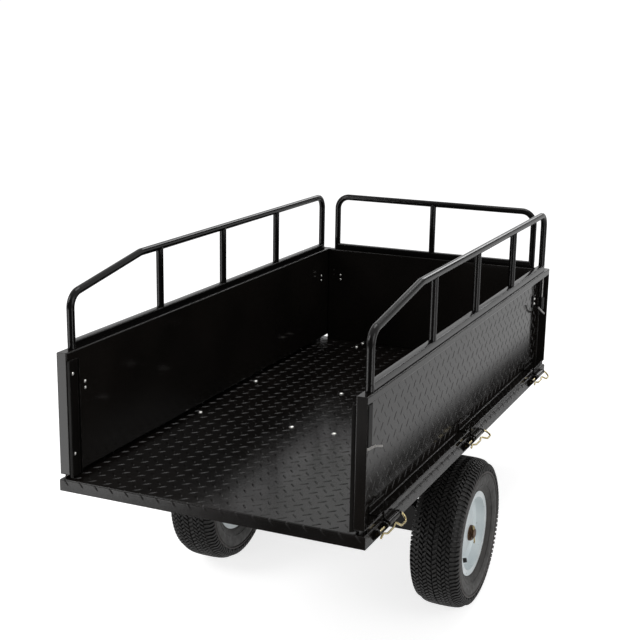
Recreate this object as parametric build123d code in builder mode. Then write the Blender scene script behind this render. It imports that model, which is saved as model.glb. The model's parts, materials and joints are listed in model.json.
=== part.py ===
from build123d import *
from math import asin, atan2, cos, degrees, hypot, radians, sin
import os

os.makedirs("parts", exist_ok=True)

# Frame while building: X to the right seen from the tail, Y forward to the hitch, Z up,
# bed level, Y = 0 on the axle line, Z = 0 on the ground, millimetres.
# Every piece is then turned about the axle into the parked stance, resting on its hitch.

# ---------------------------------------------------------------- driving dimensions
tyre_radius = 203.0
tyre_width = 134.0
wheel_x = 357.5              # middle of the tyre
rim_flange_radius = 114.5
bead_radius = 101.6
rim_half_width = 50.0
rim_sheet = 2.5
rim_well_radius = 84.0
dish_groove_x = 21.5         # ring groove of the dished disc, from the middle of the wheel
dish_shoulder_x = 36.5
dish_shoulder_radius = 32.0
dish_crown_x = 39.0          # where the disc meets the hub
hub_radius = 21.0
axle_radius = 12.7
axle_z = tyre_radius

deck_width = 776.0
deck_length = 1518.0
deck_tail_y = -746.0
deck_front_y = deck_tail_y + deck_length
lip_height = 30.0
lip_bottom_z = 450.0
floor_z = lip_bottom_z + lip_height
floor_sheet = 2.0
deck_fold = 5.0              # outer radius where the deck turns down into its lip

panel_sheet = 1.5
panel_inner_x = 358.0
panel_outer_x = 385.0
panel_bottom_z = floor_z + 12.0
panel_top_z = 788.0
panel_tail_y = deck_tail_y + 1.0
panel_front_y = deck_front_y
hem_top = 17.0
hem_low_z = floor_z + 0.7    # the lower hem hangs from the bottom flange almost to the floor
hem_setback = 18.0           # bare end of the bottom flange, where the lower hem is cut back
front_hem = 16.0
fold_radius = 3.0            # outer radius of the folds of the panels
low_fold_radius = 1.2        # the lower hem is pressed tighter

rail_tube = 9.5              # outer radius of the rail tube
rail_wall = 1.5
rail_x = 371.5
rail_top_z = 965.0
rail_tail_z = 915.0
rail_tail_y = deck_tail_y + 42.0
rail_slope_y = deck_tail_y + 345.0
rail_front_y = deck_tail_y + 1466.0
rail_posts_y = [deck_tail_y + y for y in (438.0, 779.0, 1120.0)]
rail_bend = 38.0
front_rail_y = deck_front_y - 14.0
front_rail_x = 330.0

hinge_y = [deck_tail_y + y for y in (130.0, 762.0, 1408.0)]
hinge_pin_x = 397.0
hinge_pin_z = 472.0
hinge_pin_radius = 2.5       # wire of the sprung pin
hinge_clearance = 0.05
strap_sheet = 3.0
strap_bend = 3.0             # inner radius of the fold between leaf and flange
strap_leaf = (-43.0, 42.0)   # from where to where the leaf runs along the hinge, from its middle
strap_tab = (-19.0, 61.0)    # the same for the tab over the hem
strap_knuckle = (-19.0, 41.0)
strap_leaf_top_z = 513.0
knuckle_radius = 6.0
lug_sheet = 4.0
lug_nose_radius = 7.0
lug_offsets = (-83.0, -36.0, 45.0)    # start of each lug along the hinge, from its middle
pin_swings = (35.0, 62.0, 48.0)       # how far each sprung pin hangs outward, degrees

latch_rod_radius = 3.0
latch_plate_sheet = 3.0
latch_low_z = 678.0          # lower edge of the latch brackets
latch_high_z = 716.0
rear_latch_y = deck_tail_y + 15.0
rear_latch_x = 379.5
rear_housing_top_z = 770.0
front_latch_y = deck_tail_y + 1490.0
front_latch_x = 372.5
front_sleeve_low_z = 664.0
front_sleeve_high_z = 701.0
front_rod_top_z = 793.0

channel_rows_y = [deck_tail_y + y for y in (585.0, 922.0)]
front_channel_y = deck_tail_y + 1456.0
channel_depth = 35.0
pivot_y = -46.0
pivot_z = 416.0
pivot_radius = 8.0
pivot_rail_x = 64.0

plunger_z = 380.0            # tip latch: sprung plunger beside the rest, drawn back
plunger_radius = 6.0
barrel_radius = 11.0
tongue_low_z = plunger_z - 18.0
latch_tongue_x = 68.0

beam_top_z = 263.0
beam_bottom_z = 188.0
beam_half_y = 25.0
beam_sheet = 4.0
drawbar_side = 50.0
drawbar_wall = 3.0
drawbar_rear_y = -60.0
drawbar_front_y = 1390.0
drawbar_z = beam_top_z + drawbar_side / 2
hitch_pin_y = 1432.0
hitch_bore_radius = 8.25
jaw_gap = 38.0
jaw_plate = 8.0
jaw_reach = 26.0             # jaw plate beyond the pin

# parked stance: the lower jaw of the hitch comes down to the ground
jaw_outer = jaw_gap + 2 * jaw_plate
tip_y = hitch_pin_y + jaw_reach
tip_drop = axle_z - (drawbar_z - jaw_outer / 2)
tip_reach = hypot(tip_y, tip_drop)
pitch = asin(axle_z / tip_reach) - atan2(tip_drop, tip_y)
parked_pitch = degrees(pitch)

# rearmost and foremost reach in the parked stance put the origin midway between them
rear_reach = deck_tail_y * cos(pitch) + (lip_bottom_z - axle_z) * sin(pitch)
front_reach = tip_y * cos(pitch) + (drawbar_z + jaw_outer / 2 - axle_z) * sin(pitch)
row_shift_y = -(rear_reach + front_reach) / 2

to_origin = Location((0, 0, -axle_z))
nose_down = Location((0, row_shift_y, axle_z), (-parked_pitch, 0, 0))
parked = nose_down * to_origin


def save(builder, name):
    """Write one finished piece in the parked stance."""
    piece = parked * builder.part
    piece.label = name
    export_step(piece, f"parts/{name}.step")


sides = (("left", -1), ("right", 1))

# ---------------------------------------------------------------- bed floor
with BuildPart() as bed_floor:
    with BuildSketch(Plane.XY.offset(lip_bottom_z)):
        with Locations((0, deck_tail_y + deck_length / 2)):
            Rectangle(deck_width, deck_length)
    extrude(amount=lip_height)
    fillet(bed_floor.faces().sort_by(Axis.Z)[-1].edges(), radius=deck_fold)
    offset(amount=-floor_sheet, openings=bed_floor.faces().sort_by(Axis.Z)[0])
save(bed_floor, "bed_floor")

under_floor_z = floor_z - floor_sheet

with BuildPart() as floor_channels:
    for row_y in channel_rows_y:
        with BuildSketch(Plane.YZ.offset(-360)):
            with Locations((row_y, under_floor_z - channel_depth / 2)):
                Rectangle(50, channel_depth)
            with Locations((row_y, under_floor_z - channel_depth / 2 - 3)):
                Rectangle(44, channel_depth, mode=Mode.SUBTRACT)
        extrude(amount=720)
save(floor_channels, "floor_channels")

with BuildPart() as front_channel:
    with BuildSketch(Plane.YZ.offset(-270)):
        with Locations((front_channel_y, under_floor_z - channel_depth / 2)):
            Rectangle(84, channel_depth)
        with Locations((front_channel_y, under_floor_z - channel_depth / 2 - 3)):
            Rectangle(78, channel_depth, mode=Mode.SUBTRACT)
    extrude(amount=540)
    # tongue that the tip latch's plunger holds
    with BuildSketch(Plane.YZ.offset(latch_tongue_x)):
        with BuildLine():
            Polyline(
                (front_channel_y - 22, under_floor_z - 2),
                (front_channel_y + 22, under_floor_z - 2),
                (front_channel_y + 14, tongue_low_z),
                (front_channel_y - 14, tongue_low_z),
                close=True,
            )
        make_face()
        with Locations((front_channel_y, plunger_z)):
            Circle(plunger_radius + 1.0, mode=Mode.SUBTRACT)
    extrude(amount=5)
save(front_channel, "front_channel")

# pivot rails: two angles under the channels, each with a round eye for the pivot pin
rail_low_z = pivot_z - 22
channel_low_z = under_floor_z - channel_depth
with BuildPart() as pivot_rails:
    for sign in (-1, 1):
        with BuildSketch(Plane.YZ.offset(sign * pivot_rail_x - 2.5)):
            with BuildLine():
                Polyline(
                    (channel_rows_y[0] - 40, channel_low_z),
                    (channel_rows_y[1] + 40, channel_low_z),
                    (channel_rows_y[1] + 40, channel_low_z - 18),
                    (pivot_y + 26, rail_low_z),
                    (pivot_y - 26, rail_low_z),
                    (channel_rows_y[0] - 40, channel_low_z - 18),
                    close=True,
                )
            make_face()
            with Locations((pivot_y, pivot_z)):
                Circle(pivot_radius + 0.05, mode=Mode.SUBTRACT)
        extrude(amount=5)
        with BuildSketch(Plane.XY.offset(channel_low_z - 4)):
            with Locations((sign * (pivot_rail_x + 12.5), sum(channel_rows_y) / 2)):
                Rectangle(30, channel_rows_y[1] - channel_rows_y[0] + 80)
        extrude(amount=4)
save(pivot_rails, "pivot_rails")

# ---------------------------------------------------------------- panels
front_half_width = panel_inner_x - 2.0
with BuildPart() as front_panel:
    with BuildSketch(Plane.XY.offset(floor_z)):
        with Locations((0, deck_front_y - 14)):
            Rectangle(2 * front_half_width, 26)
    extrude(amount=panel_top_z - floor_z)
    front_inner_face = front_panel.faces().sort_by(Axis.Y)[0]
    fillet(front_inner_face.edges(), radius=fold_radius)
    offset(amount=-panel_sheet, openings=front_panel.faces().sort_by(Axis.Y)[-1])
    with BuildSketch(Plane.XZ.offset(-(deck_front_y - 1))):
        with Locations((0, panel_top_z - hem_top / 2)):
            Rectangle(2 * front_half_width, hem_top)
        with Locations((0, floor_z + front_hem / 2)):
            Rectangle(2 * front_half_width, front_hem)
    extrude(amount=panel_sheet)
    front_top_fold = front_panel.edges().filter_by(Axis.X).group_by(Axis.Z)[-1].sort_by(Axis.Y)[-1]
    fillet(front_top_fold, radius=fold_radius)
save(front_panel, "front_panel")

panel_mid_y = (panel_tail_y + panel_front_y) / 2
panel_mid_z = (panel_bottom_z + panel_top_z) / 2
panel_length = panel_front_y - panel_tail_y
panel_height = panel_top_z - panel_bottom_z

for side, sign in sides:
    outward = Axis((0, 0, 0), (sign, 0, 0))
    # side panel: a pan open to the outside, with a hem down from its top and bottom flange
    with BuildPart() as side_panel:
        with BuildSketch(Plane.YZ.offset(sign * panel_inner_x)):
            with Locations((panel_mid_y, panel_mid_z)):
                Rectangle(panel_length, panel_height)
        extrude(amount=sign * (panel_outer_x - panel_inner_x))
        inner_face = side_panel.faces().sort_by(outward)[0]
        fillet(inner_face.edges(), radius=fold_radius)
        offset(amount=-panel_sheet, openings=side_panel.faces().sort_by(outward)[-1])
        with BuildSketch(Plane.YZ.offset(sign * panel_outer_x)):
            with Locations((panel_mid_y, panel_top_z - hem_top / 2)):
                Rectangle(panel_length, hem_top)
            with Locations((panel_mid_y, (hem_low_z + panel_bottom_z + panel_sheet) / 2)):
                Rectangle(panel_length - 2 * hem_setback, panel_bottom_z + panel_sheet - hem_low_z)
        extrude(amount=-sign * panel_sheet)
        with BuildSketch(Plane.XY.offset(panel_top_z + 1)):
            with Locations((sign * front_latch_x, front_latch_y)):
                Circle(latch_rod_radius + 0.5)
        extrude(amount=-10, mode=Mode.SUBTRACT)
        top_fold = side_panel.edges().filter_by(Axis.Y).group_by(Axis.Z)[-1].sort_by(outward)[-1]
        fillet(top_fold, radius=fold_radius)
        flange_edges = side_panel.edges().filter_by(Axis.Y).filter_by_position(
            Axis.Z, panel_bottom_z + panel_sheet - 0.1, panel_bottom_z + panel_sheet + 0.1
        )
        fillet(flange_edges.sort_by(outward)[-1], radius=low_fold_radius)
    save(side_panel, f"{side}_side_panel")

    # guide channel for the tailgate at the tail end of the panel
    with BuildPart() as guide:
        with BuildSketch(Plane.XY.offset(floor_z + 6)):
            with Locations((sign * (panel_inner_x - 4), panel_tail_y + 20)):
                Rectangle(8, 40)
            with Locations((sign * (panel_inner_x - 6), panel_tail_y + 20)):
                Rectangle(8, 36, mode=Mode.SUBTRACT)
        extrude(amount=282)
        base_corners = guide.edges().filter_by(Axis.Z).group_by(outward)[-1]
        fillet(base_corners, radius=1.5)
    save(guide, f"{side}_tailgate_channel")

    # rail: bent hoop, base tube on the flange and three posts
    base_z = panel_top_z + rail_tube
    with BuildPart() as hoop:
        with BuildLine() as hoop_path:
            FilletPolyline(
                (sign * rail_x, rail_tail_y, base_z),
                (sign * rail_x, rail_tail_y, rail_tail_z),
                (sign * rail_x, rail_slope_y, rail_top_z),
                (sign * rail_x, rail_front_y, rail_top_z),
                (sign * rail_x, rail_front_y, base_z),
                radius=rail_bend,
            )
        with BuildSketch(Plane.XY.offset(base_z)):
            with Locations((sign * rail_x, rail_tail_y)):
                Circle(rail_tube)
                Circle(rail_tube - rail_wall, mode=Mode.SUBTRACT)
        sweep(path=hoop_path.line)
        with BuildSketch(Plane.XZ.offset(-(rail_tail_y - 20))):
            with Locations((sign * rail_x, base_z)):
                Circle(rail_tube)
        extrude(amount=-(rail_front_y - rail_tail_y + 40), mode=Mode.SUBTRACT)
    save(hoop, f"{side}_rail_hoop")

    with BuildPart() as base:
        with BuildSketch(Plane.XZ.offset(-(rail_tail_y - rail_tube))):
            with Locations((sign * rail_x, base_z)):
                Circle(rail_tube)
                Circle(rail_tube - rail_wall, mode=Mode.SUBTRACT)
        extrude(amount=-(rail_front_y - rail_tail_y + 2 * rail_tube))
    save(base, f"{side}_rail_base")

    with BuildPart() as posts:
        with BuildSketch(Plane.XY.offset(base_z)):
            with Locations([(sign * rail_x, y) for y in rail_posts_y]):
                Circle(rail_tube)
                Circle(rail_tube - rail_wall, mode=Mode.SUBTRACT)
        extrude(amount=rail_top_z - base_z)
        for tube_z in (base_z, rail_top_z):
            with BuildSketch(Plane.XZ.offset(-rail_tail_y)):
                with Locations((sign * rail_x, tube_z)):
                    Circle(rail_tube)
            extrude(amount=-(rail_front_y - rail_tail_y), mode=Mode.SUBTRACT)
    save(posts, f"{side}_rail_posts")

    # hinge straps: a leaf in the recess, folded over the bottom flange, down over the hem
    # and rolled into a knuckle round the pin
    recess_x = panel_inner_x + panel_sheet
    flange_top_z = panel_bottom_z + panel_sheet
    strap_x = panel_outer_x + strap_sheet
    tab_foot_z = hinge_pin_z + 2 * knuckle_radius
    flange_cover_z = flange_top_z + strap_sheet
    with BuildPart() as straps:
        for centre_y in hinge_y:
            with BuildSketch(Plane.XZ.offset(-(centre_y + strap_leaf[0]))) as leaf_section:
                with BuildLine():
                    Polyline(
                        (sign * recess_x, strap_leaf_top_z),
                        (sign * (recess_x + strap_sheet), strap_leaf_top_z),
                        (sign * (recess_x + strap_sheet), flange_cover_z),
                        (sign * (panel_outer_x - 2), flange_cover_z),
                        (sign * (panel_outer_x - 2), flange_top_z),
                        (sign * recess_x, flange_top_z),
                        close=True,
                    )
                make_face()
                corners = leaf_section.vertices()
                fillet(corners.sort_by_distance((sign * recess_x, flange_top_z))[0], radius=strap_sheet)
                inner_bend = corners.sort_by_distance((sign * (recess_x + strap_sheet), flange_cover_z))[0]
                fillet(inner_bend, radius=strap_bend)
                leaf_edge = corners.sort_by_distance((sign * (recess_x + strap_sheet), strap_leaf_top_z))[0]
                fillet(leaf_edge, radius=1.2)
            extrude(amount=-(strap_leaf[1] - strap_leaf[0]))
            with BuildSketch(Plane.XZ.offset(-(centre_y + strap_tab[0]))):
                with BuildLine():
                    Polyline(
                        (sign * (panel_outer_x - 8), flange_cover_z),
                        (sign * strap_x, flange_cover_z),
                        (sign * strap_x, tab_foot_z),
                        (sign * panel_outer_x, tab_foot_z),
                        (sign * panel_outer_x, flange_top_z),
                        (sign * (panel_outer_x - 8), flange_top_z),
                        close=True,
                    )
                make_face()
            extrude(amount=-(strap_tab[1] - strap_tab[0]))
            with BuildSketch(Plane.XZ.offset(-(centre_y + strap_knuckle[0]))):
                with BuildLine():
                    Polyline(
                        (sign * strap_x, tab_foot_z),
                        (sign * (hinge_pin_x - 2), hinge_pin_z + knuckle_radius - 0.4),
                        (sign * (hinge_pin_x - knuckle_radius + 0.1), hinge_pin_z - 1),
                        (sign * panel_outer_x, tab_foot_z),
                        close=True,
                    )
                make_face()
                with Locations((sign * hinge_pin_x, hinge_pin_z)):
                    Circle(knuckle_radius)
                    Circle(hinge_pin_radius + hinge_clearance, mode=Mode.SUBTRACT)
            extrude(amount=-(strap_knuckle[1] - strap_knuckle[0]))
    save(straps, f"{side}_hinge_straps")

    # hinge lugs on the skirt of the floor: two ears on the tail side of each strap, one ahead
    skirt_x = deck_width / 2
    nose_low_x = hinge_pin_x + lug_nose_radius * sin(radians(30))
    nose_low_z = hinge_pin_z - lug_nose_radius * cos(radians(30))
    with BuildPart() as lugs:
        for centre_y in hinge_y:
            for lug_offset in lug_offsets:
                with BuildSketch(Plane.XZ.offset(-(centre_y + lug_offset))):
                    with BuildLine():
                        Polyline(
                            (sign * skirt_x, lip_bottom_z + 4),
                            (sign * skirt_x, floor_z - 2),
                            (sign * hinge_pin_x, hinge_pin_z + lug_nose_radius),
                            (sign * nose_low_x, nose_low_z),
                            close=True,
                        )
                    make_face()
                    with Locations((sign * hinge_pin_x, hinge_pin_z)):
                        Circle(lug_nose_radius)
                        Circle(hinge_pin_radius + hinge_clearance, mode=Mode.SUBTRACT)
                extrude(amount=-lug_sheet)
    save(lugs, f"{side}_hinge_lugs")

    # sprung pins: the straight leg of each is the hinge pin, and the waved leg hangs outside
    # the lugs and grips them
    pin_tail = 88.0
    with BuildPart() as pins:
        for centre_y, swing in zip(hinge_y, pin_swings):
            swung_x = sign * sin(radians(swing))
            pin_plane = Plane(
                origin=(sign * hinge_pin_x, centre_y, hinge_pin_z),
                x_dir=(0, 1, 0),
                z_dir=(cos(radians(swing)), 0, swung_x),
            )
            with BuildLine(pin_plane) as pin_path:
                FilletPolyline(
                    (-pin_tail, 0),
                    (62, 0),
                    (62, -25),
                    (28, -25),
                    (12, -10),
                    (-10, -15.5),
                    (-44, -15.5),
                    (-60, -8.5),
                    (-80, -12.5),
                    radius=(11.5, 11.5, 9, 14, 14, 10, 12),
                )
            with BuildSketch(Plane.XZ.offset(-(centre_y - pin_tail))):
                with Locations((sign * hinge_pin_x, hinge_pin_z)):
                    Circle(hinge_pin_radius)
            sweep(path=pin_path.line)
    save(pins, f"{side}_hinge_pins")

    # rear latch: bracket in the recess with an upright housing, bored for the latch rod
    rod_bore = latch_rod_radius + hinge_clearance
    with BuildPart() as rear_latch:
        with BuildSketch(Plane.YZ.offset(sign * recess_x)):
            with Locations((deck_tail_y + 46, (latch_low_z + latch_high_z) / 2)):
                Rectangle(84, latch_high_z - latch_low_z)
        extrude(amount=sign * latch_plate_sheet)
        with BuildSketch(Plane.XY.offset(latch_low_z)):
            with Locations((sign * (rear_latch_x - 8), rear_latch_y + 8)):
                Rectangle(18, 36)
        extrude(amount=latch_high_z - latch_low_z)
        with BuildSketch(Plane.XY.offset(latch_low_z)):
            with Locations((sign * rear_latch_x, rear_latch_y)):
                Rectangle(15, 24)
        extrude(amount=rear_housing_top_z - latch_low_z)
        fillet(rear_latch.edges().filter_by(Axis.Z).group_by(outward)[-1], radius=2.5)
        with BuildSketch(Plane.XY.offset(latch_low_z - 1)):
            with Locations((sign * rear_latch_x, rear_latch_y)):
                Circle(rod_bore)
        extrude(amount=rear_housing_top_z - latch_low_z - 20, mode=Mode.SUBTRACT)
    save(rear_latch, f"{side}_rear_latch")

    # front latch: bracket in the recess with a round sleeve for the rod
    with BuildPart() as front_latch:
        with BuildSketch(Plane.YZ.offset(sign * recess_x)):
            with Locations((deck_tail_y + 1463, (latch_low_z + latch_high_z) / 2)):
                RectangleRounded(78, latch_high_z - latch_low_z, 5)
        extrude(amount=sign * latch_plate_sheet)
        with BuildSketch(Plane.XY.offset(front_sleeve_low_z)):
            with Locations((sign * front_latch_x, front_latch_y)):
                Circle(7.5)
            with Locations((sign * (recess_x + 6), front_latch_y)):
                Rectangle(12, 10)
            with Locations((sign * front_latch_x, front_latch_y)):
                Circle(rod_bore, mode=Mode.SUBTRACT)
        extrude(amount=front_sleeve_high_z - front_sleeve_low_z)
    save(front_latch, f"{side}_front_latch")

    # latch rods: the front one reaches up through the top flange, both end in a curved handle
    rod_paths = (
        (
            (sign * rear_latch_x, rear_latch_y, rear_housing_top_z - 24),
            (sign * rear_latch_x, rear_latch_y, latch_low_z - 9),
            (sign * (rear_latch_x + 3), rear_latch_y + 40, latch_low_z - 12),
            (sign * (rear_latch_x + 5), rear_latch_y + 74, latch_low_z - 22),
        ),
        (
            (sign * front_latch_x, front_latch_y, front_rod_top_z),
            (sign * front_latch_x, front_latch_y, front_sleeve_low_z - 12),
            (sign * (front_latch_x + 12), front_latch_y - 4, front_sleeve_low_z - 14),
            (sign * (front_latch_x + 11), front_latch_y - 32, front_sleeve_low_z - 1),
            (sign * (front_latch_x + 6), front_latch_y - 68, front_sleeve_low_z + 20),
        ),
    )
    with BuildPart() as latch_rods:
        for rod_path in rod_paths:
            with BuildLine() as rod_line:
                FilletPolyline(*rod_path, radius=5.5)
            with BuildSketch(Plane.XY.offset(rod_path[0][2])):
                with Locations((rod_path[0][0], rod_path[0][1])):
                    Circle(latch_rod_radius)
            sweep(path=rod_line.line)
    save(latch_rods, f"{side}_latch_rods")

# ---------------------------------------------------------------- front rail
base_z = panel_top_z + rail_tube
with BuildPart() as front_rail_hoop:
    with BuildLine() as front_path:
        FilletPolyline(
            (-front_rail_x, front_rail_y, base_z),
            (-front_rail_x, front_rail_y, rail_top_z - 2),
            (front_rail_x, front_rail_y, rail_top_z - 2),
            (front_rail_x, front_rail_y, base_z),
            radius=rail_bend,
        )
    with BuildSketch(Plane.XY.offset(base_z)):
        with Locations((-front_rail_x, front_rail_y)):
            Circle(rail_tube)
            Circle(rail_tube - rail_wall, mode=Mode.SUBTRACT)
    sweep(path=front_path.line)
    with BuildSketch(Plane.YZ.offset(-front_rail_x - 20)):
        with Locations((front_rail_y, base_z)):
            Circle(rail_tube)
    extrude(amount=2 * front_rail_x + 40, mode=Mode.SUBTRACT)
save(front_rail_hoop, "front_rail_hoop")

with BuildPart() as front_rail_base:
    with BuildSketch(Plane.YZ.offset(-front_rail_x - rail_tube)):
        with Locations((front_rail_y, base_z)):
            Circle(rail_tube)
            Circle(rail_tube - rail_wall, mode=Mode.SUBTRACT)
    extrude(amount=2 * front_rail_x + 2 * rail_tube)
save(front_rail_base, "front_rail_base")

with BuildPart() as front_rail_post:
    with BuildSketch(Plane.XY.offset(base_z)):
        with Locations((0, front_rail_y)):
            Circle(rail_tube)
            Circle(rail_tube - rail_wall, mode=Mode.SUBTRACT)
    extrude(amount=rail_top_z - 2 - base_z)
    for tube_z in (base_z, rail_top_z - 2):
        with BuildSketch(Plane.YZ.offset(-front_rail_x)):
            with Locations((front_rail_y, tube_z)):
                Circle(rail_tube)
        extrude(amount=2 * front_rail_x, mode=Mode.SUBTRACT)
save(front_rail_post, "front_rail_post")

# ---------------------------------------------------------------- chassis
with BuildPart() as axle_beam:
    with BuildSketch(Plane.XZ.offset(-beam_half_y)):
        with BuildLine():
            Polyline(
                (-280, beam_bottom_z),
                (280, beam_bottom_z),
                (280, beam_top_z - 48),
                (238, beam_top_z),
                (-238, beam_top_z),
                (-280, beam_top_z - 48),
                close=True,
            )
        make_face()
    extrude(amount=2 * beam_half_y)
    with BuildSketch(Plane.YZ.offset(-300)):
        with Locations((0, (beam_bottom_z + beam_top_z) / 2 - beam_sheet)):
            Rectangle(2 * (beam_half_y - beam_sheet), beam_top_z - beam_bottom_z)
    extrude(amount=600, mode=Mode.SUBTRACT)
    for plate_x in (-276, -120, 115, 271):
        with BuildSketch(Plane.YZ.offset(plate_x)):
            with Locations((0, (beam_bottom_z + beam_top_z) / 2 - 12)):
                Rectangle(2 * beam_half_y - beam_sheet, 46)
            with Locations((0, axle_z)):
                Circle(axle_radius, mode=Mode.SUBTRACT)
        extrude(amount=5)
save(axle_beam, "axle_beam")

hub_inner_x = 322.0
hub_outer_x = 402.0
axle_half_length = 411.0
with BuildPart() as axle_shaft:
    with BuildSketch(Plane.YZ.offset(-axle_half_length)):
        with Locations((0, axle_z)):
            Circle(axle_radius)
    extrude(amount=2 * axle_half_length)
    chamfer(axle_shaft.edges().filter_by(GeomType.CIRCLE), length=1.5)
save(axle_shaft, "axle_shaft")

with BuildPart() as axle_washers:
    for start_x in (-hub_outer_x - 3.2, -hub_inner_x + 0.2, hub_inner_x - 3.2, hub_outer_x + 0.2):
        with BuildSketch(Plane.YZ.offset(start_x)):
            with Locations((0, axle_z)):
                Circle(19)
                Circle(axle_radius, mode=Mode.SUBTRACT)
        extrude(amount=3)
save(axle_washers, "axle_washers")

with BuildPart() as drawbar:
    with BuildSketch(Plane.XZ.offset(-drawbar_rear_y)):
        with Locations((0, drawbar_z)):
            RectangleRounded(drawbar_side, drawbar_side, 5)
            RectangleRounded(
                drawbar_side - 2 * drawbar_wall, drawbar_side - 2 * drawbar_wall, 2,
                mode=Mode.SUBTRACT,
            )
    extrude(amount=-(drawbar_front_y - drawbar_rear_y))
save(drawbar, "drawbar")

# braces from the ends of the beam to the drawbar
brace_side = 30.0
brace_start = Vector(225, 0, 235)
brace_end = Vector(0, 640, drawbar_z)
brace_dir = (brace_end - brace_start).normalized()
with BuildPart() as brace:
    with BuildSketch(Plane(origin=brace_start, x_dir=(0, 0, 1), z_dir=brace_dir)):
        Rectangle(brace_side, brace_side)
        Rectangle(brace_side - 4, brace_side - 4, mode=Mode.SUBTRACT)
    extrude(amount=(brace_end - brace_start).length)
    split(bisect_by=Plane.XZ.offset(-beam_half_y), keep=Keep.BOTTOM)
    split(bisect_by=Plane.YZ.offset(drawbar_side / 2), keep=Keep.TOP)
with BuildPart() as drawbar_braces:
    add(brace.part)
    mirror(about=Plane.YZ)
save(drawbar_braces, "drawbar_braces")

# tower: two cheek plates beside the drawbar that carry the bed pivot
with BuildPart() as pivot_tower:
    for start_x in (-56, 50):
        with BuildSketch(Plane.YZ.offset(start_x)):
            with BuildLine():
                Polyline(
                    (-beam_half_y - 60, beam_top_z),
                    (beam_half_y + 40, beam_top_z),
                    (pivot_y + 18, pivot_z + 4),
                    (pivot_y - 18, pivot_z + 4),
                    close=True,
                )
            make_face()
            with Locations((pivot_y, pivot_z)):
                Circle(18)
                Circle(pivot_radius, mode=Mode.SUBTRACT)
        extrude(amount=6)
    with BuildSketch(Plane.XY.offset(drawbar_z + drawbar_side / 2)):
        with Locations((0, -10)):
            Rectangle(112, 90)
    extrude(amount=5)
save(pivot_tower, "pivot_tower")

with BuildPart() as pivot_pin:
    with BuildSketch(Plane.YZ.offset(-76)):
        with Locations((pivot_y, pivot_z)):
            Circle(pivot_radius)
    extrude(amount=152)
    for start_x in (-84, 76):
        with BuildSketch(Plane.YZ.offset(start_x)):
            with Locations((pivot_y, pivot_z)):
                RegularPolygon(13, 6)
        extrude(amount=8)
save(pivot_pin, "pivot_pin")

# rest under the front channel, standing on the drawbar
rest_top_z = channel_low_z - 0.5
rest_half_y = 46.0
rest_plane = Plane.XZ.offset(-(front_channel_y - rest_half_y))
with BuildPart() as bed_rest:
    with BuildSketch(rest_plane):
        with BuildLine():
            Polyline(
                (-25, drawbar_z + drawbar_side / 2),
                (25, drawbar_z + drawbar_side / 2),
                (60, rest_top_z),
                (-60, rest_top_z),
                close=True,
            )
        make_face()
    extrude(amount=-2 * rest_half_y)
    with BuildSketch(rest_plane):
        with BuildLine():
            Polyline(
                (-19, drawbar_z + drawbar_side / 2),
                (19, drawbar_z + drawbar_side / 2),
                (53, rest_top_z - 5),
                (-53, rest_top_z - 5),
                close=True,
            )
        make_face()
    extrude(amount=-2 * rest_half_y, mode=Mode.SUBTRACT)
    with BuildSketch(Plane.YZ.offset(30)):
        with Locations((front_channel_y, plunger_z)):
            Circle(barrel_radius + 0.05)
    extrude(amount=30, mode=Mode.SUBTRACT)
save(bed_rest, "bed_rest")

# tip latch: bracket on the drawbar, barrel through the rest, plunger drawn back clear of the
# tongue, and a ring to draw it by
plunger_plane = Plane(origin=(48, front_channel_y, plunger_z), x_dir=(0, 1, 0), z_dir=(-1, 0, 0))
with BuildPart() as tip_latch:
    with BuildSketch(plunger_plane):
        Circle(barrel_radius)
    extrude(amount=60)
    with BuildSketch(plunger_plane.offset(-12)):
        Circle(plunger_radius)
    extrude(amount=86)
    with BuildSketch(plunger_plane.offset(70)):
        RectangleRounded(60, 14, 6)
    extrude(amount=10)
    with BuildSketch(Plane.YZ.offset(-6)):
        with Locations((front_channel_y, (drawbar_z + drawbar_side / 2 + plunger_z) / 2)):
            Rectangle(30, plunger_z - drawbar_z - drawbar_side / 2)
    extrude(amount=12)
save(tip_latch, "tip_latch")

# ---------------------------------------------------------------- hitch
with BuildPart() as hitch_clevis:
    with BuildSketch(Plane.YZ.offset(-30)):
        with Locations((drawbar_front_y + 34, drawbar_z)):
            Rectangle(68, jaw_outer)
        with Locations((drawbar_front_y + 34 + jaw_plate, drawbar_z)):
            Rectangle(68, jaw_gap, mode=Mode.SUBTRACT)
    extrude(amount=60)
    fillet(
        hitch_clevis.edges().filter_by(Axis.Z).group_by(Axis.Y)[-1],
        radius=jaw_reach,
    )
    with BuildSketch(Plane.XY.offset(drawbar_z - jaw_outer)):
        with Locations((0, hitch_pin_y)):
            Circle(hitch_bore_radius)
    extrude(amount=2 * jaw_outer, mode=Mode.SUBTRACT)
save(hitch_clevis, "hitch_clevis")

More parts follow.
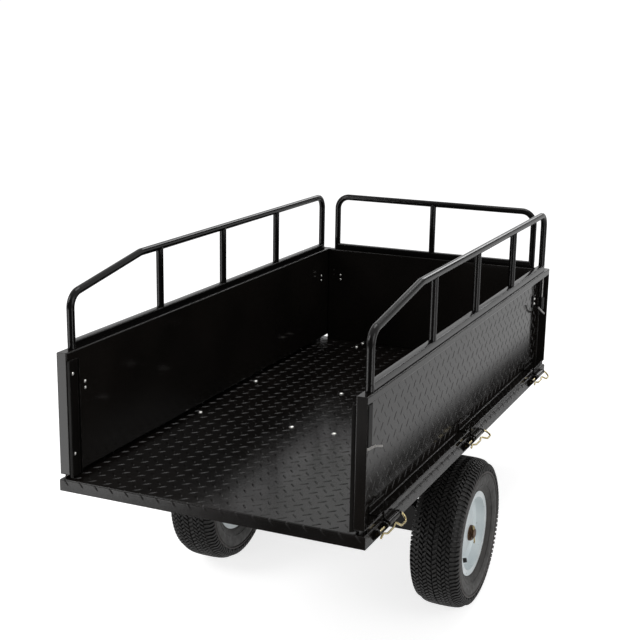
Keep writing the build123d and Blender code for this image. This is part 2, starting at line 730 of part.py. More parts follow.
# ---------------------------------------------------------------- wheels
for side, sign in sides:
    wheel_plane = Plane(
        origin=(sign * wheel_x, 0, axle_z), x_dir=(sign, 0, 0), z_dir=(0, -sign, 0)
    )
    hub_axis = Axis((0, 0, axle_z), (1, 0, 0))
    half = tyre_width / 2
    with BuildPart() as tyre:
        with BuildSketch(wheel_plane):
            with BuildLine():
                Line((-46, bead_radius), (-46, 114))
                ThreePointArc((-46, 114), (-half, 154), (-59, 184))
                ThreePointArc((-59, 184), (-52, 194), (-40, 198))
                ThreePointArc((-40, 198), (0, tyre_radius), (40, 198))
                ThreePointArc((40, 198), (52, 194), (59, 184))
                ThreePointArc((59, 184), (half, 154), (46, 114))
                Polyline((46, 114), (46, bead_radius), (36, bead_radius), (36, 114))
                ThreePointArc((36, 114), (half - 8, 152), (48, 180))
                ThreePointArc((48, 180), (0, tyre_radius - 11), (-48, 180))
                ThreePointArc((-48, 180), (-half + 8, 152), (-36, 114))
                Polyline((-36, 114), (-36, bead_radius), (-46, bead_radius))
            make_face()
        revolve(axis=hub_axis)
    save(tyre, f"{side}_tyre")

    with BuildPart() as rim:
        with BuildSketch(wheel_plane) as rim_section:
            with BuildLine():
                Polyline(
                    (-rim_half_width, rim_flange_radius),
                    (-rim_half_width + rim_sheet, rim_flange_radius),
                    (-rim_half_width + rim_sheet, bead_radius),
                    (-24, bead_radius - 1),
                    (-18, rim_well_radius),
                    (18, rim_well_radius),
                    (24, bead_radius - 1),
                    (rim_half_width - rim_sheet, bead_radius),
                    (rim_half_width - rim_sheet, rim_flange_radius),
                    (rim_half_width, rim_flange_radius),
                    (rim_half_width, bead_radius - rim_sheet),
                    (26, bead_radius - rim_sheet - 1),
                    (dish_groove_x, rim_well_radius - 2),
                    (dish_shoulder_x, dish_shoulder_radius),
                    (dish_crown_x, hub_radius),
                    (dish_crown_x - rim_sheet, hub_radius),
                    (dish_shoulder_x - rim_sheet, dish_shoulder_radius),
                    (dish_groove_x - rim_sheet, rim_well_radius - rim_sheet),
                    (-20, rim_well_radius - rim_sheet),
                    (-26, bead_radius - rim_sheet - 1),
                    (-rim_half_width, bead_radius - rim_sheet),
                    close=True,
                )
            make_face()
            corners = rim_section.vertices()
            groove = corners.sort_by_distance((dish_groove_x, rim_well_radius - 2))[0]
            fillet(groove, radius=6)
            corners = rim_section.vertices()
            shoulder = corners.sort_by_distance((dish_shoulder_x, dish_shoulder_radius))[0]
            fillet(shoulder, radius=14)
        revolve(axis=hub_axis)
    save(rim, f"{side}_rim")

    hub_start = hub_inner_x if sign > 0 else -hub_outer_x
    with BuildPart() as hub:
        with BuildSketch(Plane.YZ.offset(hub_start)):
            with Locations((0, axle_z)):
                Circle(hub_radius)
                Circle(axle_radius + 0.06, mode=Mode.SUBTRACT)
        extrude(amount=hub_outer_x - hub_inner_x)
    save(hub, f"{side}_hub")

print("parked pitch", round(parked_pitch, 4), "degrees, shift in Y", round(row_shift_y, 3))
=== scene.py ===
import json
import math

import bmesh
import bpy
from mathutils import Matrix, Vector


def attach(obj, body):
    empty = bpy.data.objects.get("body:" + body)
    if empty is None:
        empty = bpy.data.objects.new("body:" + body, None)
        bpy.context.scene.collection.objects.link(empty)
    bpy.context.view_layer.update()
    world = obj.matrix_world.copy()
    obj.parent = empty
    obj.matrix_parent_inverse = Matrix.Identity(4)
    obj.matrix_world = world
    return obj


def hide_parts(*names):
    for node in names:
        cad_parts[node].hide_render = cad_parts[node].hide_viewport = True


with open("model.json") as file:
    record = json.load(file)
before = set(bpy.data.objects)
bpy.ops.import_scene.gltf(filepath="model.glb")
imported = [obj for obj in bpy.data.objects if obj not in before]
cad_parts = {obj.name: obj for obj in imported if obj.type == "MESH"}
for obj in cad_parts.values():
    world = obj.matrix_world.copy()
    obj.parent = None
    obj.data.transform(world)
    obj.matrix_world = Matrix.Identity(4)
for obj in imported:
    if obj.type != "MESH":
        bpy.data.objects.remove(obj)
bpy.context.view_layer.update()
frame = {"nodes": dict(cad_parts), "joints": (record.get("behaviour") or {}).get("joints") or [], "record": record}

# ------------------------------------------------------------------ bed axes
# The bed stands nose down. BED turns a point given from the tail edge of the tray, on its middle
# line and level with the bottom of its lip, into the row frame: x right, y forward, z up, metres.
FOLD_OUT, FOLD_ALONG, FOLD_UP = 0.397, 0.762, 0.022     # where the right fold's joint is, given so
joints = {j["name"]: j for j in frame["joints"]}
fold = joints["right_side_fold"]
right = Vector((1.0, 0.0, 0.0))
forward = Vector(fold["axis"]).normalized()
upward = right.cross(forward)
tail_mid = Vector(fold["pos_m"]) - FOLD_OUT * right - FOLD_ALONG * forward - FOLD_UP * upward
BED = Matrix((
    (right.x, forward.x, upward.x, tail_mid.x),
    (right.y, forward.y, upward.y, tail_mid.y),
    (right.z, forward.z, upward.z, tail_mid.z),
    (0.0, 0.0, 0.0, 1.0),
))
BED_TURN = BED.to_3x3()

DECK_HALF = 0.388          # half the width of the tray
DECK_LENGTH = 1.518
FLOOR_Z = 0.030            # top of the tray
PANEL_TOP = 0.338
SHEET_INNER = 0.3580       # faces of a side panel, out from the middle line
SHEET_OUTER = 0.3595
LATCH_FACE = 0.3625        # outer face of the plates that carry the corner latches
CHANNEL_FACE = 0.3560      # inner face of the tailgate channel
FRONT_INNER = 1.4910       # faces of the front panel, along the bed
FRONT_OUTER = DECK_LENGTH - 0.0255
SIDE_RAIL_X = 0.3715       # middles of the rails' tubes
FRONT_RAIL_Y = 1.504
WHEEL = {side: Vector(joints[side + "_wheel_spin"]["pos_m"]) for side in ("left", "right")}
SIDES = (("left", -1.0), ("right", 1.0))


# ------------------------------------------------------------------ node trees
class Graph:
    """A node tree, with short calls for what is put into it."""

    def __init__(self, tree):
        self.tree = tree
        tree.nodes.clear()

    def add(self, kind, **settings):
        node = self.tree.nodes.new(kind)
        for key, value in settings.items():
            setattr(node, key, value)
        return node

    def link(self, a, b):
        self.tree.links.new(a, b)

    def span(self, value, low, high, start=0.3, end=0.7, curve="LINEAR"):
        """Goes from low to high while value goes from start to end, and stays there beyond."""
        node = self.add("ShaderNodeMapRange", interpolation_type=curve)
        for key, number in (("From Min", start), ("From Max", end), ("To Min", low), ("To Max", high)):
            node.inputs[key].default_value = number
        self.link(value, node.inputs["Value"])
        return node.outputs["Result"]

    def math(self, operation, a, b):
        node = self.add("ShaderNodeMath", operation=operation)
        self.link(a, node.inputs[0])
        self.link(b, node.inputs[1])
        return node.outputs["Value"]

    def dot(self, vector, direction):
        node = self.add("ShaderNodeVectorMath", operation="DOT_PRODUCT")
        self.link(vector, node.inputs[0])
        node.inputs[1].default_value = direction
        return node.outputs["Value"]


class Finish(Graph):
    """One principled material, patterned in the object's own coordinates."""

    def __init__(self, name, **principled):
        self.material = bpy.data.materials.new(name)
        self.material.use_nodes = True
        super().__init__(self.material.node_tree)
        self.shader = self.add("ShaderNodeBsdfPrincipled")
        for key, value in principled.items():
            self.shader.inputs[key].default_value = value
        out = self.add("ShaderNodeOutputMaterial")
        self.link(self.shader.outputs["BSDF"], out.inputs["Surface"])
        self.coord = self.add("ShaderNodeTexCoord").outputs["Object"]

    def colour(self, source):
        self.link(source, self.shader.inputs["Base Color"])

    def roughness(self, source):
        self.link(source, self.shader.inputs["Roughness"])

    def noise(self, scale, detail, rough=0.5):
        node = self.add("ShaderNodeTexNoise")
        node.inputs["Scale"].default_value = scale
        node.inputs["Detail"].default_value = detail
        node.inputs["Roughness"].default_value = rough
        self.link(self.coord, node.inputs["Vector"])
        return node.outputs["Fac"]

    def ramp(self, fac, low, high):
        """Colour from low to high over the middle of a noise."""
        node = self.add("ShaderNodeValToRGB")
        for stop, position, colour in zip(node.color_ramp.elements, (0.3, 0.7), (low, high)):
            stop.position = position
            stop.color = (*colour, 1.0)
        self.link(fac, node.inputs["Fac"])
        return node.outputs["Color"]

    def mix(self, fac, a, b):
        node = self.add("ShaderNodeMix", data_type="RGBA")
        self.link(fac, node.inputs["Factor"])
        self.link(a, node.inputs["A"])
        self.link(b, node.inputs["B"])
        return node.outputs["Result"]

    def bump(self, fac, strength, distance):
        """Adds a bump on top of whatever shapes the normal so far."""
        node = self.add("ShaderNodeBump")
        node.inputs["Strength"].default_value = strength
        node.inputs["Distance"].default_value = distance
        self.link(fac, node.inputs["Height"])
        previous = self.shader.inputs["Normal"]
        if previous.is_linked:
            self.link(previous.links[0].from_socket, node.inputs["Normal"])
        self.link(node.outputs["Normal"], self.shader.inputs["Normal"])

    def bevel(self, radius):
        node = self.add("ShaderNodeBevel", samples=4)
        node.inputs["Radius"].default_value = radius
        return node.outputs["Normal"]

    def rounded(self, radius):
        self.link(self.bevel(radius), self.shader.inputs["Normal"])

    def worn_edges(self):
        """1 where a rounded normal leaves the face's own, in patches so that it isn't an even line."""
        dot = self.add("ShaderNodeVectorMath", operation="DOT_PRODUCT")
        self.link(self.bevel(0.0012), dot.inputs[0])
        self.link(self.add("ShaderNodeNewGeometry").outputs["Normal"], dot.inputs[1])
        edge = self.span(dot.outputs["Value"], 1.0, 0.0, 0.90, 0.985)
        patchy = self.span(self.noise(70.0, 4.0), 0.0, 1.0, 0.45, 0.68)
        return self.math("MULTIPLY", edge, patchy)


# ------------------------------------------------------------------ materials
def black_steel(name, low, high, rough, peel, ior=1.32):
    """Black paint with orange peel, from colour low to high, worn to grey in places on its edges."""
    m = Finish(name, IOR=ior)
    m.rounded(0.0025)
    fine = m.noise(420.0, 2.0)
    paint = m.ramp(m.noise(5.0, 4.0), low, high)
    bare = m.ramp(fine, (0.05, 0.047, 0.045), (0.09, 0.087, 0.083))
    m.colour(m.mix(m.worn_edges(), paint, bare))
    m.roughness(m.span(m.noise(14.0, 5.0), *rough))
    m.bump(fine, peel, 0.0004)
    m.bump(m.noise(36.0, 2.0), peel * 0.6, 0.0006)
    return m.material


def tyre_rubber():
    """Rubber, darkest on the tread. The sidewall is painted lighter, as painted light on it, and the narrow ring
    where the sidewall ends is palest, a painted highlight.
    """
    m = Finish("tyre_rubber", IOR=1.45)
    off_axle = m.add("ShaderNodeVectorMath", operation="SUBTRACT")
    m.link(m.coord, off_axle.inputs[0])
    off_axle.inputs[1].default_value = WHEEL["right"]
    across = m.add("ShaderNodeVectorMath", operation="MULTIPLY")
    m.link(off_axle.outputs["Vector"], across.inputs[0])
    across.inputs[1].default_value = (0.0, 1.0, 1.0)
    length = m.add("ShaderNodeVectorMath", operation="LENGTH")
    m.link(across.outputs["Vector"], length.inputs[0])
    radius = length.outputs["Value"]

    tone = m.noise(30.0, 6.0, 0.6)
    # painted light: the sidewall is coloured lighter than the tread for the light falling on it, and the ring
    # paler still as a painted highlight on its top
    painted_light_wall = m.ramp(tone, (0.0190, 0.0176, 0.0167), (0.0400, 0.0368, 0.0346))
    ring = m.ramp(tone, (0.050, 0.044, 0.042), (0.085, 0.075, 0.071))
    tread = m.ramp(tone, (0.0042, 0.0039, 0.0037), (0.0098, 0.0089, 0.0083))
    # the painted highlight on the ring, then the tread's own darker rubber past the shoulder
    walled = m.mix(m.span(radius, 0.0, 1.0, 0.1664, 0.1672), painted_light_wall, ring)
    m.colour(m.mix(m.span(radius, 0.0, 1.0, 0.1698, 0.1706), walled, tread))
    m.roughness(m.span(m.noise(90.0, 4.0), 0.44, 0.66))
    m.bump(m.noise(700.0, 3.0), 0.25, 0.0005)
    return m.material


def mottled(name, grain, low, high, rough_grain, rough, pits=None, edge=None, **principled):
    """A finish of one mottled colour. grain and rough_grain are noises, as (scale, detail), rough is
    a span, pits a bump as (scale, detail, strength, distance) and edge the radius of soft edges."""
    m = Finish(name, **principled)
    if edge:
        m.rounded(edge)
    m.colour(m.ramp(m.noise(*grain), low, high))
    m.roughness(m.span(m.noise(*rough_grain), *rough))
    if pits:
        scale, detail, strength, distance = pits
        m.bump(m.noise(scale, detail), strength, distance)
    return m.material


BLACK = black_steel("black_powder_coat", (0.0046, 0.0040, 0.0035), (0.0084, 0.0072, 0.0063),
                    (0.06, 0.11), 0.10)
TREAD = black_steel("black_tread_plate", (0.0034, 0.0028, 0.0025), (0.0070, 0.0057, 0.0051),
                    (0.14, 0.22), 0.16)
TUBE = black_steel("black_gloss_tube", (0.0024, 0.0022, 0.0021), (0.0045, 0.0040, 0.0038),
                   (0.10, 0.17), 0.06)
SATIN = black_steel("black_satin", (0.0030, 0.0027, 0.0024), (0.0058, 0.0050, 0.0044),
                    (0.36, 0.48), 0.10, 1.18)
RUBBER = tyre_rubber()
RIM = mottled("rim_silver", (18.0, 5.0), (0.60, 0.66, 0.68), (0.74, 0.79, 0.80),
              (60.0, 4.0), (0.26, 0.42), (600.0, 2.0, 0.08, 0.0003), 0.001, Metallic=0.15, IOR=1.5)
HUB = mottled("hub_bronze", (120.0, 5.0), (0.045, 0.022, 0.011), (0.15, 0.085, 0.045),
              (200.0, 4.0), (0.35, 0.6), (400.0, 3.0, 0.2, 0.0004), Metallic=0.6)
ZINC = mottled("zinc_plate", (90.0, 4.0), (0.62, 0.61, 0.58), (0.83, 0.82, 0.79),
               (150.0, 4.0), (0.18, 0.36), (500.0, 2.0, 0.1, 0.0002), Metallic=1.0)
DULL = mottled("dull_zinc", (90.0, 4.0), (0.20, 0.19, 0.18), (0.34, 0.33, 0.32),
               (150.0, 4.0), (0.22, 0.40), (500.0, 2.0, 0.12, 0.0003), Metallic=1.0)
YELLOW = mottled("yellow_zinc", (160.0, 4.0), (0.40, 0.31, 0.13), (0.66, 0.58, 0.35),
                 (220.0, 4.0), (0.08, 0.22), (500.0, 2.0, 0.1, 0.0002), Metallic=1.0)
VALVE = mottled("valve_rubber", (200.0, 4.0), (0.006, 0.006, 0.006), (0.016, 0.015, 0.015),
                (300.0, 4.0), (0.4, 0.6), IOR=1.45)

SLOT_MATERIAL = {
    "black_steel": BLACK, "tyre": RUBBER, "rim": RIM, "hub": HUB, "bare_steel": ZINC, "zinc": YELLOW,
}
slot_of = {row["node"]: row["material_slot"] for row in frame["record"]["subparts"]}
for node_name, node_object in frame["nodes"].items():
    material = SLOT_MATERIAL[slot_of[node_name]]
    if node_name == "bed_floor":
        material = TREAD
    elif "rail_" in node_name:
        material = TUBE
    elif node_name.endswith(("_tailgate_channel", "_rear_latch")):
        material = SATIN
    elif node_name in ("axle_shaft", "axle_washers"):
        material = HUB
    elif node_name.endswith("_latch_rods"):
        material = DULL
    node_object.data.materials.clear()
    node_object.data.materials.append(material)


# ------------------------------------------------------------------ mesh helpers
def finish_mesh(name, lists, material, body, angle=40.0):
    """The named object of (verts, faces), smooth but for edges sharper than angle, riding on body."""
    verts, faces = lists
    mesh = bpy.data.meshes.new(name)
    mesh.from_pydata([tuple(v) for v in verts], [], faces)
    mesh.update()
    bm = bmesh.new()
    bm.from_mesh(mesh)
    bmesh.ops.recalc_face_normals(bm, faces=bm.faces)
    limit = math.radians(angle)
    for face in bm.faces:
        face.smooth = True
    for edge in bm.edges:
        if len(edge.link_faces) == 2 and edge.calc_face_angle(0.0) > limit:
            edge.smooth = False
    bm.to_mesh(mesh)
    bm.free()
    mesh.materials.append(material)
    obj = bpy.data.objects.new(name, mesh)
    bpy.context.scene.collection.objects.link(obj)
    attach(obj, body)
    return obj


def join_lists(parts):
    verts, faces = [], []
    for part_verts, part_faces in parts:
        shift = len(verts)
        verts.extend(part_verts)
        faces.extend(tuple(i + shift for i in face) for face in part_faces)
    return verts, faces


def prism(first, last):
    """Walls from one outline of points to the other, and both ends."""
    n = len(first)
    faces = [(k, (k + 1) % n, n + (k + 1) % n, n + k) for k in range(n)]
    faces.append(tuple(range(n)))
    faces.append(tuple(n + k for k in reversed(range(n))))
    return first + last, faces


def lathe(profile, place, segments):
    """Profile rows are (along, radius), and place maps (along, across, height) to a point."""
    verts, faces = [], []
    count = len(profile)
    for k in range(segments):
        a = 2.0 * math.pi * k / segments
        for along, radius in profile:
            verts.append(place(along, radius * math.cos(a), radius * math.sin(a)))
    for k in range(segments):
        n = (k + 1) % segments
        for i in range(count - 1):
            faces.append((k * count + i, k * count + i + 1, n * count + i + 1, n * count + i))
    return verts, faces


def dome(point, normal, radius, height):
    """A domed bolt head standing on point."""
    normal = normal.normalized()
    side = normal.orthogonal().normalized()
    other = normal.cross(side)
    profile = [(-0.0005, radius), (height * 0.25, radius * 0.98), (height * 0.6, radius * 0.8),
               (height * 0.88, radius * 0.48), (height, radius * 0.02)]
    return lathe(profile, lambda n, a, b: point + normal * n + side * a + other * b, 14)


def wire(points, radius, segments=8):
    """A round wire through points, bent at each of them and closed at both ends."""
    verts, faces = [], []
    side = (points[1] - points[0]).normalized().orthogonal().normalized()
    for i, p in enumerate(points):
        heading = (points[min(i + 1, len(points) - 1)] - points[max(i - 1, 0)]).normalized()
        side = (side - heading * side.dot(heading)).normalized()
        other = heading.cross(side)
        for k in range(segments):
            a = 2.0 * math.pi * k / segments
            verts.append(p + side * radius * math.cos(a) + other * radius * math.sin(a))
    last = (len(points) - 1) * segments
    for ring in range(0, last, segments):
        for k in range(segments):
            n = (k + 1) % segments
            faces.append((ring + k, ring + n, ring + segments + n, ring + segments + k))
    faces.append(tuple(range(segments)))
    faces.append(tuple(last + k for k in reversed(range(segments))))
    return verts, faces


# ------------------------------------------------------------------ tread plate lugs
LUG_PITCH = 0.0413
LUG_LENGTH = 0.027
LUG_WIDTH = 0.0052
LUG_HEIGHT = 0.0013
PANEL_LUG_HEIGHT = 0.0006
LUG_LEAN = math.radians(47)
LONG_STEPS, WIDE_STEPS = 8, 4


def lug(u, v, lean, place, tall):
    """One raised lens of tread plate at sheet place (u, v); place maps (u, v, height) to a point."""
    verts, faces = [], []
    c, s = math.cos(lean), math.sin(lean)
    for i in range(LONG_STEPS + 1):
        t = -1.0 + 2.0 * i / LONG_STEPS
        t = math.copysign(abs(t) ** 0.85, t)
        half = 0.5 * LUG_WIDTH * max(0.0, 1.0 - t * t) ** 0.62 + 0.0002
        for j in range(WIDE_STEPS + 1):
            w = -1.0 + 2.0 * j / WIDE_STEPS
            rise = tall * (1.0 - abs(t) ** 3.5) * (1.0 - w * w) ** 0.6
            sunk = 0.0003 if rise < 0.00005 else 0.0     # the rim goes a little into the sheet
            along, across = 0.5 * LUG_LENGTH * t, half * w
            verts.append(place(u + along * c - across * s, v + along * s + across * c, rise - sunk))
    row = WIDE_STEPS + 1
    for i in range(LONG_STEPS):
        for j in range(WIDE_STEPS):
            a = i * row + j
            faces.append((a, a + 1, a + row + 1, a + row))
    return verts, faces


def lug_field(u_first, u_last, v_first, v_last, place, inside, tall=LUG_HEIGHT):
    """Lugs of both leans over a sheet. inside says whether a lug centred at (u, v) belongs there."""
    parts = []
    u_count = int(round((u_last - u_first) / LUG_PITCH)) + 1
    v_count = int(round((v_last - v_first) / LUG_PITCH)) + 1
    for i in range(u_count):
        for j in range(v_count):
            for shift, lean in ((0.0, LUG_LEAN), (0.5, -LUG_LEAN)):
                u = u_first + (i + shift) * LUG_PITCH
                v = v_first + (j + shift) * LUG_PITCH
                if inside(u, v):
                    parts.append(lug(u, v, lean, place, tall))
    return join_lists(parts)


BEND = 0.005        # outer radius where the tray's plate turns down
SKIRT = 0.019       # how far past an edge a lug's middle may lie on the turned-down lip
CORNER = 0.014      # the tray's corners stay plain over this much each way


def around_edge(t):
    """Distance in from an edge, drop below the face and turn, for arc length t in from the edge."""
    angle = min((BEND - t) / BEND, math.pi / 2)
    inward = BEND - BEND * math.sin(angle)
    drop = BEND - BEND * math.cos(angle)
    beyond = (BEND - t) - BEND * math.pi / 2
    return inward, drop + max(beyond, 0.0), angle


def floor_point(u, v, height):
    """Sheet point of the tray: the plate turns down along all four edges."""
    x, y, z = u, v, FLOOR_Z + height
    if abs(u) > DECK_HALF - BEND:
        inward, drop, angle = around_edge(DECK_HALF - abs(u))
        x = math.copysign(DECK_HALF - inward + height * math.sin(angle), u)
        z = FLOOR_Z - drop + height * math.cos(angle)
    elif v < BEND:
        inward, drop, angle = around_edge(v)
        y = inward - height * math.sin(angle)
        z = FLOOR_Z - drop + height * math.cos(angle)
    elif v > DECK_LENGTH - BEND:
        inward, drop, angle = around_edge(DECK_LENGTH - v)
        y = DECK_LENGTH - inward + height * math.sin(angle)
        z = FLOOR_Z - drop + height * math.cos(angle)
    return BED @ Vector((x, y, z))


def on_tray(u, v):
    over_u = abs(u) - DECK_HALF
    over_v = max(-v, v - DECK_LENGTH)
    if over_u > -CORNER and over_v > -CORNER:
        return False
    return over_u < SKIRT and over_v < SKIRT


def on_side_panel(u, v):
    return 0.033 < u < DECK_LENGTH - 0.033 and 0.058 < v < PANEL_TOP - 0.030


def front_point(u, v, height):
    return BED @ Vector((u, FRONT_OUTER + height, v))


def on_front_panel(u, v):
    return abs(u) < 0.343 and 0.05 < v < PANEL_TOP - 0.014


lugs = lug_field(-0.352 - LUG_PITCH, 0.352 + LUG_PITCH, 0.0175 - LUG_PITCH, DECK_LENGTH + 0.03,
                 floor_point, on_tray)
finish_mesh("floor_tread_lugs", lugs, TREAD, "bed")

for side, sign in SIDES:
    def panel_point(u, v, height, sign=sign):
        return BED @ Vector((sign * (SHEET_OUTER + height), u, v))

    lugs = lug_field(0.030, DECK_LENGTH - 0.03, 0.062, PANEL_TOP - 0.02,
                     panel_point, on_side_panel, PANEL_LUG_HEIGHT)
    finish_mesh(side + "_panel_tread_lugs", lugs, TREAD, side + "_side")

lugs = lug_field(-0.330, 0.330, 0.062, PANEL_TOP - 0.02, front_point, on_front_panel)
finish_mesh("front_panel_tread_lugs", lugs, TREAD, "bed")

# ------------------------------------------------------------------ bolts
FLOOR_BOLT = (0.0075, 0.0040)       # radius and height of the heads
LATCH_BOLT = (0.0042, 0.0026)
CHANNEL_BOLT = (0.0045, 0.0026)


def bed_dome(place, normal, radius, height):
    return dome(BED @ Vector(place), BED_TURN @ Vector(normal), radius, height)


heads = [bed_dome((x, y, FLOOR_Z), (0, 0, 1), *FLOOR_BOLT)
         for y in (0.585, 0.922) for x in (-0.340, -0.0615, 0.0615, 0.340)]
heads += [bed_dome((x, y, FLOOR_Z), (0, 0, 1), *FLOOR_BOLT)
          for y in (1.430, 1.483) for x in (-0.2235, 0.2235)]
heads += [bed_dome((x, FRONT_INNER, z), (0, -1, 0), *LATCH_BOLT)
          for x in (-0.3125, 0.3125) for z in (0.252, 0.2375)]
finish_mesh("bed_bolt_heads", join_lists(heads), ZINC, "bed")

for side, sign in SIDES:
    heads = []
    for y, pair in ((0.072, (0.2535, 0.238)), (1.439, (0.255, 0.2395))):
        for z in pair:
            heads.append(bed_dome((sign * SHEET_INNER, y, z), (-sign, 0, 0), *LATCH_BOLT))
            heads.append(bed_dome((sign * LATCH_FACE, y, z), (sign, 0, 0), *LATCH_BOLT))
    for z in (0.285, 0.090):
        heads.append(bed_dome((sign * CHANNEL_FACE, 0.021, z), (-sign, 0, 0), *CHANNEL_BOLT))
    finish_mesh(side + "_panel_bolt_heads", join_lists(heads), ZINC, side + "_side")

# ------------------------------------------------------------------ rail base bars
BAR_HALF = 0.0095
BAR_CORNER = 0.0025
BAR_Z = PANEL_TOP + BAR_HALF


def bar_outline():
    """Rounded square section of the bar, as (across, up) pairs."""
    pairs = []
    core = BAR_HALF - BAR_CORNER
    for quarter, (cx, cz) in enumerate(((core, core), (-core, core), (-core, -core), (core, -core))):
        for step in range(4):
            a = math.radians(90.0 * quarter + 30.0 * step)
            pairs.append((cx + BAR_CORNER * math.cos(a), cz + BAR_CORNER * math.sin(a)))
    return pairs


def foot(place, along):
    """The last of a rail leg, down past the bar to the top of the panel."""
    top = BAR_HALF + 0.0010
    wide = BAR_HALF - 0.0002
    rows = [(top, 0.0001), (top, wide), (-BAR_HALF, wide), (-BAR_HALF, 0.0001)]
    return lathe(rows, lambda up, p, q: place(along + p, q, up), 24)


def rail_base(node, body, place, first_leg, last_leg):
    """Square bar between a rail's two legs, with their feet, in place of the node's round tube.
    place maps (along, across, up) to a point."""
    start = [place(first_leg + 0.0005, across, up) for across, up in bar_outline()]
    end = [place(last_leg - 0.0005, across, up) for across, up in bar_outline()]
    parts = [prism(start, end), foot(place, first_leg), foot(place, last_leg)]
    base = finish_mesh(node + "_bar", join_lists(parts), TUBE, body, angle=50.0)
    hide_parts(node)


for side, sign in SIDES:
    def side_place(along, across, up, sign=sign):
        return BED @ Vector((sign * SIDE_RAIL_X + across, along, BAR_Z + up))

    rail_base(side + "_rail_base", side + "_side", side_place, 0.042, 1.466)


def front_place(along, across, up):
    return BED @ Vector((along, FRONT_RAIL_Y + across, BAR_Z + up))


rail_base("front_rail_base", "bed", front_place, -0.330, 0.330)

# ------------------------------------------------------------------ tyres
TYRE_R = 0.203
TREAD_DEPTH = 0.0055
BLOCKS_ROUND = 92
STEP = 2.0 * math.pi / BLOCKS_ROUND
# rows of tread blocks on each half: inner and outer edge, then skew and offset round the tyre in steps
BLOCK_ROWS = ((0.0365, 0.0452, 0.50, 0.25), (0.0262, 0.0352, -0.55, 0.80),
              (0.0150, 0.0250, 0.55, 0.30), (0.0015, 0.0138, -0.60, 0.85))
# sidewall from the rim to the shoulder, as (along the axle, radius), with its raised rings
SIDEWALL = (
    (0.0450, 0.1010), (0.0490, 0.1075), (0.0485, 0.1140), (0.0512, 0.1172), (0.0530, 0.1192),
    (0.0526, 0.1205), (0.0560, 0.1265), (0.0590, 0.1330), (0.0604, 0.1332), (0.0610, 0.1352),
    (0.0602, 0.1360), (0.0626, 0.1440), (0.0640, 0.1520), (0.0644, 0.1590), (0.0640, 0.1622),
    (0.0622, 0.1632), (0.0620, 0.1656), (0.0640, 0.1666), (0.0656, 0.1674), (0.0656, 0.1694),
    (0.0636, 0.1704), (0.0622, 0.1765), (0.0592, 0.1835), (0.0548, 0.1890), (0.0500, 0.1925),
)


def crown(along):
    """Radius of the tread blocks' tops across the tyre."""
    t = min(1.0, abs(along) / 0.060)
    return TYRE_R - 0.0035 * t * t - 0.0135 * t ** 7


def tread_block(polar, angle, inner, outer, skew):
    """A tread block from inner to outer along the axle; polar maps (along, radius, angle) to a point."""
    mid = (inner + outer) / 2
    half_width = STEP * 0.31
    verts = []
    # foot, edge and top: depth below the crown, then share of the length and of the width
    for drop, long, wide in ((TREAD_DEPTH + 0.0012, 1.0, 1.0), (0.0010, 0.97, 0.97), (0.0, 0.97, 0.80)):
        for share, hand in ((0, -1), (0.5, -1), (1, -1), (1, 1), (0.5, 1), (0, 1)):
            along = mid + (inner - mid + (outer - inner) * share) * long
            a = angle + hand * half_width * wide + skew * (share - 0.5)
            verts.append(polar(along, crown(along) - drop, a))
    faces = [(12, 13, 16, 17), (13, 14, 15, 16)]
    for level in (0, 6):
        for k in range(6):
            n = (k + 1) % 6
            faces.append((level + k, level + n, level + 6 + n, level + 6 + k))
    return verts, faces


def shoulder_bar(polar, angle, hand, longer):
    """A narrow bar over the shoulder that stands out past the sidewall."""
    section = ((0.0465, crown(0.0465) - 0.006), (0.0465, crown(0.0465)), (0.0560, crown(0.0560)),
               (0.0618, 0.1905), (0.0652, 0.1845), (0.0665, 0.1795), (0.0662, 0.1755 - longer),
               (0.0630, 0.1735 - longer), (0.0560, 0.1800))
    faces = []
    for half_width in (-STEP * 0.28, STEP * 0.28):
        faces.append([polar(hand * along, radius, angle + half_width * (0.86 if radius > 0.187 else 1.0))
                      for along, radius in section])
    return prism(*faces)


def tyre(side, sign):
    def place(along, a, b):
        return WHEEL[side] + Vector((sign * along, a, b))

    def polar(along, radius, angle):
        return place(along, radius * math.cos(angle), radius * math.sin(angle))

    under_tread = [(along, crown(along) - TREAD_DEPTH)
                   for along in (0.040, 0.024, 0.008, -0.008, -0.024, -0.040)]
    far_wall = [(-along, radius) for along, radius in reversed(SIDEWALL)]
    parts = [lathe([*SIDEWALL, *under_tread, *far_wall], place, 144)]
    for k in range(BLOCKS_ROUND):
        for hand, shift in ((-1, 0.5), (1, 0.0)):
            turn = k + shift
            parts.append(shoulder_bar(polar, turn * STEP, hand, 0.0025 if k % 2 else 0.0))
            for inner, outer, skew, offset in BLOCK_ROWS:
                parts.append(tread_block(polar, (turn + offset) * STEP, hand * inner, hand * outer,
                                         skew * STEP))
    obj = finish_mesh(side + "_tyre_treaded", join_lists(parts), RUBBER, side + "_wheel", angle=35.0)
    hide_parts(side + "_tyre")


def valve_stem(side, sign):
    """Black rubber stem through the rim, leaning outwards."""
    a = math.radians(214 if sign > 0 else 150)
    radial = Vector((0.0, math.cos(a), math.sin(a)))
    lean = (Vector((sign, 0, 0)) * 0.75 - radial * 0.25).normalized()
    root = WHEEL[side] + Vector((sign * 0.021, 0, 0)) + radial * 0.088
    cross = lean.cross(radial).normalized()
    other = lean.cross(cross)
    profile = [(-0.004, 0.0085), (0.002, 0.0085), (0.005, 0.0062), (0.020, 0.0055), (0.021, 0.0064),
               (0.031, 0.0062), (0.032, 0.0002)]
    stem = lathe(profile, lambda n, p, q: root + lean * n + cross * p + other * q, 14)
    finish_mesh(side + "_valve_stem", stem, VALVE, side + "_wheel")


for side, sign in SIDES:
    tyre(side, sign)
    valve_stem(side, sign)

# ------------------------------------------------------------------ split pins
AXLE_END = 0.408        # where the pins cross the axle, outside the washers
PIN_WIRE = 0.0014       # radius of the pins' wire
PIN_EYE = 0.0046
PIN_TILT = math.radians(8)

